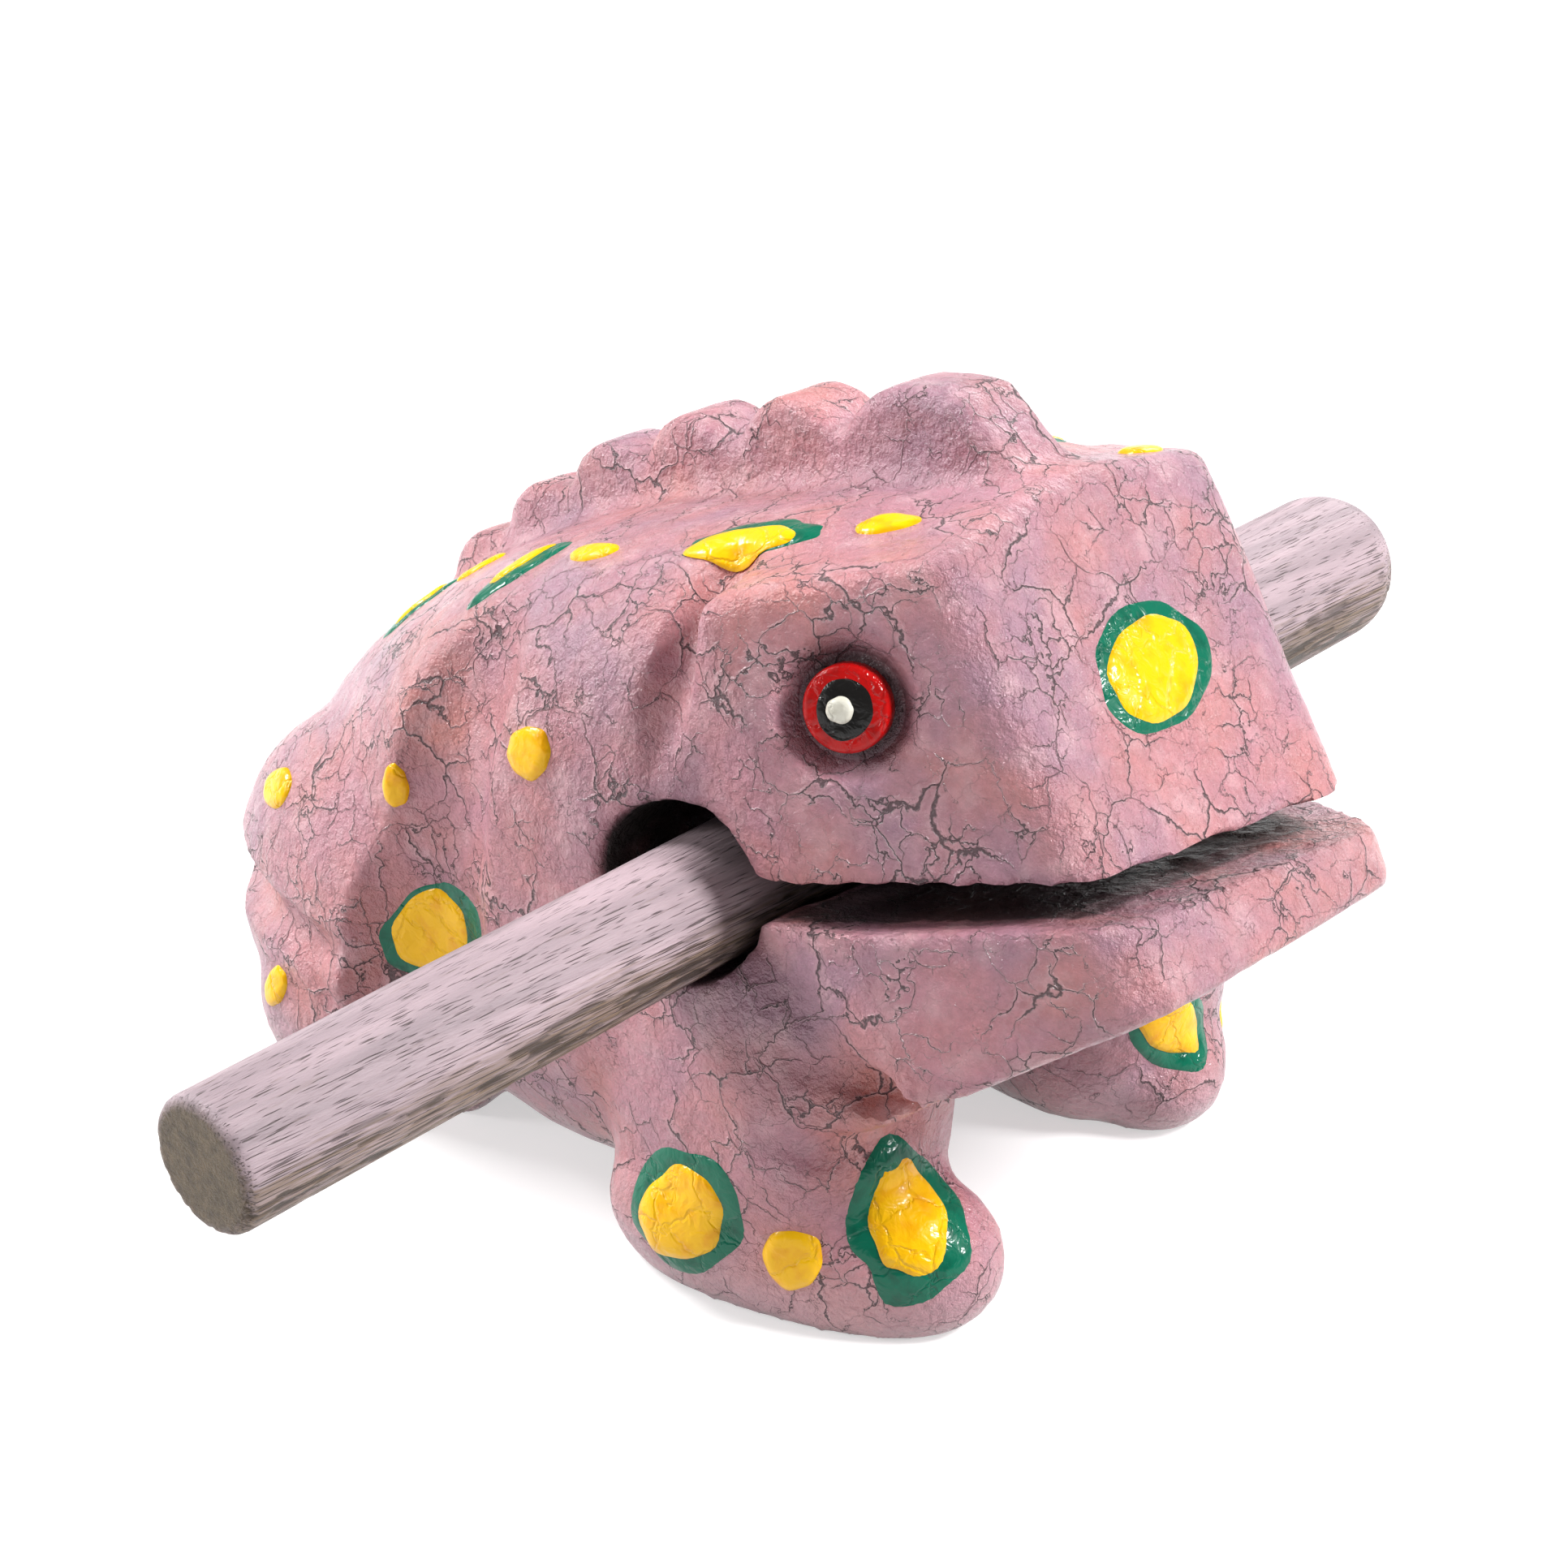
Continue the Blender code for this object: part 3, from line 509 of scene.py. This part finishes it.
@dataclass
class FrogBody:
    """The carved body: the frame's solid, with its facets blended, tool marks left and lacquer edges softened."""

    node: bpy.types.Object
    grain: float = 0.60 * MM
    blend_steps: int = 5
    shrink: float = 0.5
    swell: float = -0.52
    tool_marks_mm: tuple[tuple[float, float], ...] = ((14.0, 0.20), (4.5, 0.10), (1.6, 0.06))
    kerf_mm: float = 5.0
    kerf_shade: float = 0.85
    # Sideways probes that find where the painted shade of the cut goes.
    side_reach: float = 2.4 * MM
    side_probes: int = 8
    clearance: float = 0.25 * MM
    bore_mm: tuple[float, float, float] = (10.9, 33.0, 7.25)
    bore_edge_mm: float = 0.4

    def build(self, finish: bpy.types.Material, eyes: list[Eye]) -> bpy.types.Object:
        """Build the body.

        Args:
            finish: the crackled lacquer.
            eyes: the eyes that are turned into it.

        Returns:
            The body.
        """
        body = self.node.copy()
        body.data = self.node.data.copy()
        body.name = "lacquered_body"
        bpy.context.scene.collection.objects.link(body)
        only(body)
        bpy.ops.object.mode_set(mode="EDIT")
        bpy.ops.mesh.select_all(action="SELECT")
        bpy.ops.mesh.remove_doubles(threshold=0.002 * MM)
        bpy.ops.object.mode_set(mode="OBJECT")
        apply_modifier(body, "REMESH", mode="VOXEL", voxel_size=self.grain)
        for _ in range(self.blend_steps):
            for factor in (self.shrink, self.swell):
                apply_modifier(body, "SMOOTH", factor=factor, iterations=1)
        self._leave_tool_marks(body)
        for eye in eyes:
            eye.sink(body)
        self._paint_shade_in_cuts(body)
        only(body)
        bpy.ops.object.shade_smooth_by_angle(angle=math.radians(38))
        body.data.materials.clear()
        body.data.materials.append(finish)
        LOG.info("body has %d faces", len(body.data.polygons))
        return body

    def _leave_tool_marks(self, body: bpy.types.Object) -> None:
        """Push the surface in and out a little, as a hand-held gouge and a thick brush leave it.

        Args:
            body: the frog's body.
        """
        normals = [vert.normal.copy() for vert in body.data.vertices]
        for vert, normal in zip(body.data.vertices, normals):
            push = sum(noise.noise(vert.co * (1000 / size)) * depth for size, depth in self.tool_marks_mm)
            vert.co += normal * (push * MM * ease(vert.co.z / (2.0 * MM)))

    def _paint_shade_in_cuts(self, body: bpy.types.Object) -> None:
        """Write the painted shade in the mouth's saw cut and the bore.

        A point of the cut counts as open where a short step sideways leads out of the cut. Where none does it is
        painted dark, and the bore is painted fully dark.

        Args:
            body: the frog's body.
        """
        mesh = body.data
        surface = BVHTree.FromPolygons([vert.co for vert in mesh.vertices],
                                       [tuple(face.vertices) for face in mesh.polygons])
        mark = mesh.attributes.new("painted_shade_in_cuts", "FLOAT", "POINT")
        x_bore, z_bore, radius = self.bore_mm
        turns = [2 * math.pi * turn / self.side_probes for turn in range(self.side_probes)]
        ways = [Vector((math.cos(turn), math.sin(turn), 0.0)) for turn in turns]
        for index, vert in enumerate(mesh.vertices):
            across = math.hypot(vert.co.x / MM - x_bore, vert.co.z / MM - z_bore)
            start = vert.co + vert.normal * self.clearance
            _, _, _, gap = surface.ray_cast(start, vert.normal, self.kerf_mm * MM)
            cut_shade = 0.0
            if gap is not None:
                slit = vert.co + vert.normal * ((gap + self.clearance) / 2)
                open_ways = sum(surface.ray_cast(slit + way * self.side_reach, vert.normal,
                                                 self.kerf_mm * MM)[0] is None for way in ways)
                cut_shade = ease((self.kerf_mm - gap / MM) / 2.0) * ease(1.0 - open_ways / 3.0)
            mark.data[index].value = max(self.kerf_shade * cut_shade, ease((radius - across) / self.bore_edge_mm))


@dataclass(frozen=True)
class Spot:
    """One spot of paint: where it is and how far it reaches, in millimetres, with the turn of its long way."""

    place: tuple[float, float, float]
    reach: tuple[float, float]
    turn: float
    paint: Paint
    rise: float = 0.35
    lift: float = 0.0
    wobble: float = 0.06
    facing: tuple[float, float, float] | None = None


YELLOW, GREEN, BLACK, WHITE = Paint.YELLOW, Paint.GREEN, Paint.BLACK, Paint.WHITE

NEAR_SIDE_SPOTS = (
    Spot((-36.9, -26.2, 23.7), (2.7, 1.85), -156, YELLOW, 0.45),
    Spot((-20.1, -27.5, 30.5), (1.9, 1.2), 88, YELLOW, 0.40),
    Spot((-3.7, -28.2, 39.6), (2.5, 2.0), -151, YELLOW, 0.45),
    Spot((-8.8, -16.7, 51.1), (3.0, 1.2), 50, YELLOW, 0.40),
    Spot((-33.2, -30.3, 7.5), (2.4, 1.5), -125, YELLOW, 0.40),
    Spot((23.5, -26.2, 6.7), (2.7, 2.3), 75, YELLOW, 0.60),
    Spot((-16.2, -25.8, 18.1), (6.4, 4.1), -143, GREEN, 0.28, 0.0, 0.08),
    Spot((-17.0, -26.0, 18.1), (4.5, 3.3), -134, YELLOW, 0.42, 0.16, 0.06),
    Spot((-16.8, -17.0, 47.3), (4.9, 2.1), 112, GREEN, 0.28, 0.0, 0.10),
    Spot((-17.3, -16.4, 47.4), (3.3, 0.9), 112, YELLOW, 0.30, 0.16, 0.10),
    Spot((6.6, -15.4, 56.6), (6.2, 2.4), 48, GREEN, 0.28, 0.0, 0.12, (-0.2, -0.35, 0.91)),
    Spot((6.2, -16.2, 56.2), (4.7, 2.0), 45, YELLOW, 0.38, 0.16, 0.10, (-0.2, -0.35, 0.91)),
    Spot((14.6, -28.5, 7.7), (6.2, 4.8), -133, GREEN, 0.30, 0.0, 0.08),
    Spot((14.4, -28.6, 7.4), (4.6, 3.5), -133, YELLOW, 0.50, 0.18, 0.08),
    Spot((29.2, -19.8, 9.6), (5.9, 4.8), 85, GREEN, 0.30, 0.0, 0.10),
    Spot((29.0, -19.8, 9.6), (4.3, 3.0), 78, YELLOW, 0.45, 0.18, 0.10),
    Spot((-34.0, -13.0, 38.3), (4.4, 2.4), 112, GREEN, 0.28, 0.0, 0.08),
    Spot((-34.0, -13.0, 38.3), (2.9, 1.4), 112, YELLOW, 0.35, 0.16, 0.08),
    Spot((-28.5, -11.5, 43.5), (2.4, 1.3), 112, YELLOW, 0.40),
)

MIDDLE_SPOTS = (
    Spot((16.5, -11.8, 59.6), (2.5, 1.5), 74, YELLOW, 0.45),
    Spot((20.5, 12.5, 61.0), (2.6, 1.7), 60, YELLOW, 0.45),
    Spot((33.3, -1.2, 51.1), (6.6, 4.7), -178, GREEN, 0.28, 0.0, 0.07),
    Spot((33.4, -1.4, 51.0), (5.1, 3.8), -166, YELLOW, 0.42, 0.16, 0.05),
)

FAR_FOOT_SPOTS = (
    Spot((27.6, 15.4, 11.2), (5.6, 3.4), 139, GREEN, 0.30, 0.0, 0.09),
    Spot((27.4, 15.2, 11.6), (4.2, 2.5), 137, YELLOW, 0.45, 0.18, 0.09),
)


@dataclass
class SpotPainter:
    """Dabs the spots of paint on the body, each a low cushion of paint with a wavy edge."""

    body: bpy.types.Object
    sides: int = 44
    rings: int = 5

    def __post_init__(self) -> None:
        """Index the body's surface once."""
        vertices = [vert.co.copy() for vert in self.body.data.vertices]
        faces = [tuple(face.vertices) for face in self.body.data.polygons]
        self.surface = BVHTree.FromPolygons(vertices, faces)

    def dab(self, spot: Spot, seed: int) -> bpy.types.Object:
        """Lay one spot on the surface.

        Args:
            spot: the spot.
            seed: picks the waves of its edge.

        Returns:
            The spot's piece.
        """
        centre, normal, _, _ = self.surface.find_nearest(Vector(spot.place) * MM)
        normal = Vector(spot.facing).normalized() if spot.facing else self._mean_normal(centre, spot)
        east = Vector((0.0, 0.0, 1.0)).cross(normal).normalized()
        north = normal.cross(east)
        turn = math.radians(spot.turn)
        long_way = east * math.cos(turn) + north * math.sin(turn)
        cross_way = normal.cross(long_way)
        bpy.ops.mesh.primitive_circle_add(vertices=self.sides, radius=1.0, fill_type="NGON")
        piece = bpy.context.object
        bpy.ops.object.mode_set(mode="EDIT")
        bpy.ops.mesh.select_mode(type="FACE")
        bpy.ops.mesh.select_all(action="SELECT")
        bpy.ops.mesh.inset(thickness=0.05)
        for _ in range(self.rings):
            bpy.ops.mesh.inset(thickness=0.90 / (self.rings + 1))
        bpy.ops.mesh.poke()
        bpy.ops.object.mode_set(mode="OBJECT")
        chance = random.Random(seed)
        waves = [(count, chance.uniform(0.3, 1.0) * spot.wobble / count ** 0.5, chance.uniform(0, 2 * math.pi))
                 for count in (2, 3, 5, 8)]
        for vert in piece.data.vertices:
            x, y = vert.co.x, vert.co.y
            angle = math.atan2(y, x)
            out = min(1.0, math.hypot(x, y))
            grow = MM * (1 + sum(size * math.cos(count * angle + phase) for count, size, phase in waves))
            above = centre + long_way * (x * spot.reach[0] * grow) + cross_way * (y * spot.reach[1] * grow)
            hit, facing, _, _ = self.surface.ray_cast(above + normal * (4 * MM), -normal, 9 * MM)
            if hit is None:
                hit, facing, _, _ = self.surface.find_nearest(above)
            ripple = 0.10 * noise.noise(hit * 1100.0 + Vector((seed, 0.0, 0.0)))
            height = spot.lift + spot.rise * ((1 - out ** 5) ** 0.6 + ripple * (1 - out)) - 0.05
            vert.co = hit + facing * (height * MM)
        apply_modifier(piece, "SOLIDIFY", thickness=0.3 * MM, offset=-1.0)
        return piece

    def _mean_normal(self, centre: Vector, spot: Spot) -> Vector:
        """Average the surface's direction over the spot's middle.

        Args:
            centre: the spot's middle on the surface.
            spot: the spot.

        Returns:
            The mean outward direction.
        """
        reach = min(spot.reach) * 0.5 * MM
        total = Vector()
        for _, normal, _, _ in self.surface.find_nearest_range(centre, reach):
            total += normal
        return total.normalized() if total.length > 0 else self.surface.find_nearest(centre)[1]

    def paint(self, spots: list[tuple[Spot, int]], name: str, finish: bpy.types.Material) -> bpy.types.Object:
        """Dab all spots of one paint and join them in one piece.

        Args:
            spots: the spots, each with its seed.
            name: the joined piece's name.
            finish: the enamel.

        Returns:
            The joined piece.
        """
        pieces = [self.dab(spot, seed) for spot, seed in spots]
        only(pieces[0])
        for piece in pieces:
            piece.select_set(True)
        bpy.ops.object.join()
        piece = bpy.context.object
        piece.name = name
        bpy.ops.object.shade_smooth_by_angle(angle=math.radians(60))
        piece.data.materials.clear()
        piece.data.materials.append(finish)
        LOG.info("%s: %d spots", name, len(spots))
        return piece


@dataclass
class RaspStick:
    """The turned stick: a straight rod that swells to a domed head, with open pores along its fibre."""

    mouth_mm: tuple[float, float, float] = (11.3, -29.0, 31.45)
    overhang: float = 42.0 * MM
    length: float = 133.0 * MM
    thin: float = 5.0 * MM
    thick: float = 6.7 * MM
    swell_at: float = 100.0 * MM
    swell_length: float = 12.0 * MM
    edge: float = 0.9 * MM
    dome: float = 6.0 * MM
    tilt: float = math.radians(2.8)
    skew: float = math.radians(0.5)
    around: int = 128
    pore_depth: float = 0.14 * MM

    def _stations(self) -> list[tuple[float, float]]:
        """Give distance along the stick and radius there, from the middle of one end to that of the other."""
        rows = [(0.0, self.thin * share) for share in (0.0, 0.2, 0.4, 0.6, 0.8)]
        for step in range(5):
            angle = math.pi / 2 * step / 4
            rows.append((self.edge * (1 - math.cos(angle)), self.thin - self.edge * (1 - math.sin(angle))))
        straight = int((self.length - self.dome - self.edge) / (0.38 * MM))
        for step in range(1, straight):
            along = self.edge + (self.length - self.dome - self.edge) * step / straight
            swell = ease((along - self.swell_at) / self.swell_length)
            rows.append((along, self.thin + (self.thick - self.thin) * swell))
        for step in range(25):
            angle = math.pi / 2 * step / 24
            rows.append((self.length - self.dome * (1 - math.sin(angle)), self.thick * math.cos(angle) ** 0.8))
        return rows

    def build(self, finish: bpy.types.Material) -> bpy.types.Object:
        """Roll a grid up to the stick and open its pores.

        Args:
            finish: the washed hardwood.

        Returns:
            The stick.
        """
        rows = self._stations()
        bpy.ops.mesh.primitive_grid_add(x_subdivisions=self.around, y_subdivisions=len(rows) - 1, size=2.0)
        piece = bpy.context.object
        piece.name = "washed_stick"
        lay = (Matrix.Translation(Vector(self.mouth_mm) * MM) @ Matrix.Rotation(self.skew, 4, "Z")
               @ Matrix.Rotation(self.tilt, 4, "X") @ Matrix.Translation((0.0, -self.overhang, 0.0)))
        for vert in piece.data.vertices:
            step = round((vert.co.y + 1) / 2 * (len(rows) - 1))
            angle = round((vert.co.x + 1) / 2 * self.around) % self.around * 2 * math.pi / self.around
            along, radius = rows[step]
            around = Vector((math.cos(angle), 0.0, -math.sin(angle)))
            worn = 0.12 * MM * noise.noise(Vector((around.x * 0.8, along * 55.0, around.z * 0.8)))
            shrink = min(1.0, radius / self.thin)
            vert.co = around * (radius + worn * shrink) + Vector((0.0, along, 0.0))
        bpy.ops.object.mode_set(mode="EDIT")
        bpy.ops.mesh.select_all(action="SELECT")
        bpy.ops.mesh.remove_doubles(threshold=0.001 * MM)
        bpy.ops.mesh.normals_make_consistent(inside=False)
        bpy.ops.object.mode_set(mode="OBJECT")
        self._open_pores(piece)
        piece.data.transform(lay)
        only(piece)
        bpy.ops.object.shade_smooth_by_angle(angle=math.radians(60))
        piece.data.materials.append(finish)
        return piece

    def _open_pores(self, piece: bpy.types.Object) -> None:
        """Sink the pores and write how porous, how brown and how end-grained each point is. Towards the underside
        it is browner, with darker and deeper pores.

        Args:
            piece: the stick, still along Y from the origin.
        """
        mesh = piece.data
        marks = {name: mesh.attributes.new(name, "FLOAT", "POINT") for name in ("pore", "browner_below", "end")}
        normals = [vert.normal.copy() for vert in mesh.vertices]
        for index, (vert, normal) in enumerate(zip(mesh.vertices, normals)):
            radial = math.hypot(vert.co.x, vert.co.z)
            end = ease((self.thin - radial) / (1.2 * MM)) if vert.co.y < self.edge * 0.6 else 0.0
            # Browner, with darker and deeper pores, towards the underside.
            under = ease((0.66 - normal.z) / 0.9)
            fibre = Vector((vert.co.x * 1900.0, vert.co.y * 210.0, vert.co.z * 1900.0))
            grain = noise.noise(fibre) + 0.35 * noise.noise(fibre * 2.1)
            patch = 0.5 + 0.5 * noise.noise(Vector((vert.co.x * 250.0, vert.co.y * 60.0, vert.co.z * 250.0)))
            pore = ease((grain - 0.50 + 0.34 * under + 0.20 * patch) / 0.22) * (1 - end)
            vert.co -= normal * (self.pore_depth * pore * (0.3 + 0.7 * under))
            marks["pore"].data[index].value = pore * (0.04 + 0.84 * under)
            marks["browner_below"].data[index].value = under * (0.5 + 0.5 * patch)
            marks["end"].data[index].value = end


@dataclass
class Studio:
    """A pale floor, soft lamps and the camera."""

    azimuth: float = math.radians(42.0)
    elevation: float = math.radians(26.5)
    roll: float = math.radians(-2.5)
    distance: float = 0.25
    target: tuple[float, float, float] = (0.0, -0.0035, 0.030)
    lens: float = 3800 / 1932 * 36
    floor_colour: str = "#c4c4c4"
    floor_glow: float = 0.55
    sky_light: float = 0.22

    def place_camera(self) -> None:
        """Put the camera at the photograph's viewing angle."""
        back = Vector((math.sin(self.azimuth) * math.cos(self.elevation),
                       -math.cos(self.azimuth) * math.cos(self.elevation), math.sin(self.elevation)))
        level = Vector((math.cos(self.azimuth), math.sin(self.azimuth), 0.0))
        upright = back.cross(level)
        right = level * math.cos(self.roll) - upright * math.sin(self.roll)
        top = level * math.sin(self.roll) + upright * math.cos(self.roll)
        data = bpy.data.cameras.new("camera")
        data.lens = self.lens
        data.sensor_width = 36
        data.clip_start = 0.01
        camera = bpy.data.objects.new("camera", data)
        turn = Matrix((right, top, back)).transposed().to_4x4()
        camera.matrix_world = Matrix.Translation(Vector(self.target) + back * self.distance) @ turn
        bpy.context.scene.collection.objects.link(camera)
        bpy.context.scene.camera = camera

    def add_lamp(self, name: str, place: tuple[float, float, float], size: float, power: float) -> None:
        """Add a soft square white lamp that faces the frog.

        Args:
            name: the lamp's name.
            place: where it hangs, in metres.
            size: its edge in metres.
            power: its power in watts.
        """
        data = bpy.data.lights.new(name, "AREA")
        data.size = size
        data.energy = power
        lamp = bpy.data.objects.new(name, data)
        lamp.location = place
        lamp.rotation_euler = (Vector(place) - Vector(self.target)).to_track_quat("Z", "Y").to_euler()
        bpy.context.scene.collection.objects.link(lamp)

    def lay_floor(self) -> bpy.types.Object:
        """Lay the pale floor. What the camera or a reflection sees of it also glows, to come out white.

        Returns:
            The floor.
        """
        bpy.ops.mesh.primitive_plane_add(size=6.0, location=(0.0, 0.0, 0.0))
        floor = bpy.context.object
        floor.name = "floor"
        material, tree, shader = fresh_material("matt_white_floor")
        shader.inputs["Base Color"].default_value = linear(self.floor_colour)
        shader.inputs["Roughness"].default_value = 0.9
        path = add_node(tree, "ShaderNodeLightPath")
        seen = add_node(tree, "ShaderNodeMath", {0: path.outputs["Is Camera Ray"],
                                                 1: path.outputs["Is Glossy Ray"]}, operation="ADD")
        seen = add_node(tree, "ShaderNodeMath", {0: seen.outputs[0], 1: path.outputs["Is Transmission Ray"]},
                        operation="ADD")
        seen = add_node(tree, "ShaderNodeMath", {0: seen.outputs[0], 1: self.floor_glow}, operation="MULTIPLY")
        tree.links.new(seen.outputs[0], shader.inputs["Emission Strength"])
        shader.inputs["Emission Color"].default_value = (1.0, 1.0, 1.0, 1.0)
        floor.data.materials.append(material)
        return floor

    def light_world(self) -> None:
        """Fill the shadows with an even pale sky, white where the camera sees it."""
        world = bpy.data.worlds.new("studio")
        world.use_nodes = True
        tree = world.node_tree
        path = add_node(tree, "ShaderNodeLightPath")
        sky = tree.nodes["Background"]
        seen = add_node(tree, "ShaderNodeMapRange", {0: path.outputs["Is Camera Ray"], 3: self.sky_light, 4: 1.0})
        sky.inputs["Color"].default_value = (1.0, 1.0, 1.0, 1.0)
        tree.links.new(seen.outputs[0], sky.inputs["Strength"])
        bpy.context.scene.world = world

    def build(self) -> bpy.types.Object:
        """Build the studio.

        Returns:
            The floor.
        """
        self.place_camera()
        self.light_world()
        self.add_lamp("key", (0.44, 0.20, 0.52), 0.14, 5.2)
        self.add_lamp("overhead_left", (-0.56, -0.14, 0.46), 0.22, 6.0)
        self.add_lamp("window_behind", (-0.20, 0.58, 0.36), 0.30, 1.9)
        self.add_lamp("glint", (0.56, 0.34, 0.26), 0.05, 1.0)
        self.add_lamp("low_left", (-0.42, -0.52, 0.32), 0.20, 1.8)
        view = bpy.context.scene.view_settings
        view.view_transform = "Standard"
        return self.lay_floor()


def mirrored(spot: Spot) -> Spot:
    """Carry a spot over to the frog's far side."""
    x, y, z = spot.place
    facing = spot.facing and (spot.facing[0], -spot.facing[1], spot.facing[2])
    return Spot((x, -y, z), spot.reach, 180 - spot.turn, spot.paint, spot.rise, spot.lift, spot.wobble, facing)


def carry(piece: bpy.types.Object, slot: str, *nodes: str) -> None:
    """Let a piece ride on the frog and hide the nodes that it stands for.

    Args:
        piece: the piece.
        slot: the record's material slot; not used.
        nodes: the frame's nodes that it replaces.
    """
    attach(piece, "root")
    if nodes:
        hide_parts(*nodes)
    LOG.info("%s is in place", piece.name)


def main() -> None:
    """Build the frog, its paint, its stick and the studio."""
    logging.basicConfig(level=logging.INFO)
    floor = Studio().build()
    paints = {paint: DabbedEnamel(paint).build() for paint in Paint}
    eyes = {"right": Eye(-1, (22.0, -21.9, 50.2)), "left": Eye(1, (22.0, 19.5, 50.2))}
    body = FrogBody(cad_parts["frog_body"]).build(CrackledLacquer().build(), list(eyes.values()))
    carry(body, "painted_wood", "frog_body")
    painter = SpotPainter(body)
    all_spots = list(NEAR_SIDE_SPOTS + MIDDLE_SPOTS + FAR_FOOT_SPOTS)
    all_spots += [mirrored(spot) for spot in NEAR_SIDE_SPOTS if spot.place[0] < 25.0]
    numbered = [(spot, 7 + 13 * index) for index, spot in enumerate(all_spots)]
    for paint, name in ((GREEN, "green_rings"), (YELLOW, "yellow_spots")):
        chosen = [(spot, seed) for spot, seed in numbered if spot.paint is paint]
        carry(painter.paint(chosen, name, paints[paint]), "painted_wood")
    for number, (word, eye) in enumerate(eyes.items()):
        boss = eye.boss(paints[Paint.RED], word)
        carry(boss, "painted_wood")
        eyelet = SpotPainter(boss)
        place = tuple((eye.middle() + eye.outward() * (0.2 * MM)) / MM)
        looking = tuple(eye.outward())
        pupil = Spot(place, (2.3, 2.15), 83, BLACK, 0.16, 0.0, 0.03, looking)
        carry(eyelet.paint([(pupil, 90 + number)], f"pupil_{word}", paints[BLACK]), "painted_wood")
        aside = tuple((eye.middle() + eye.outward() * (0.2 * MM)) / MM + Vector((-0.30, 0.0, -0.10)))
        glint = Spot(aside, (1.05, 0.95), 20, WHITE, 0.40, 0.14, 0.05, looking)
        carry(eyelet.paint([(glint, 95 + number)], f"pupil_dot_{word}", paints[WHITE]), "painted_wood")
    carry(RaspStick().build(LimeWashedHardwood().build()), "washed_wood", "rasp_stick")


if __name__ == "__main__":
    main()
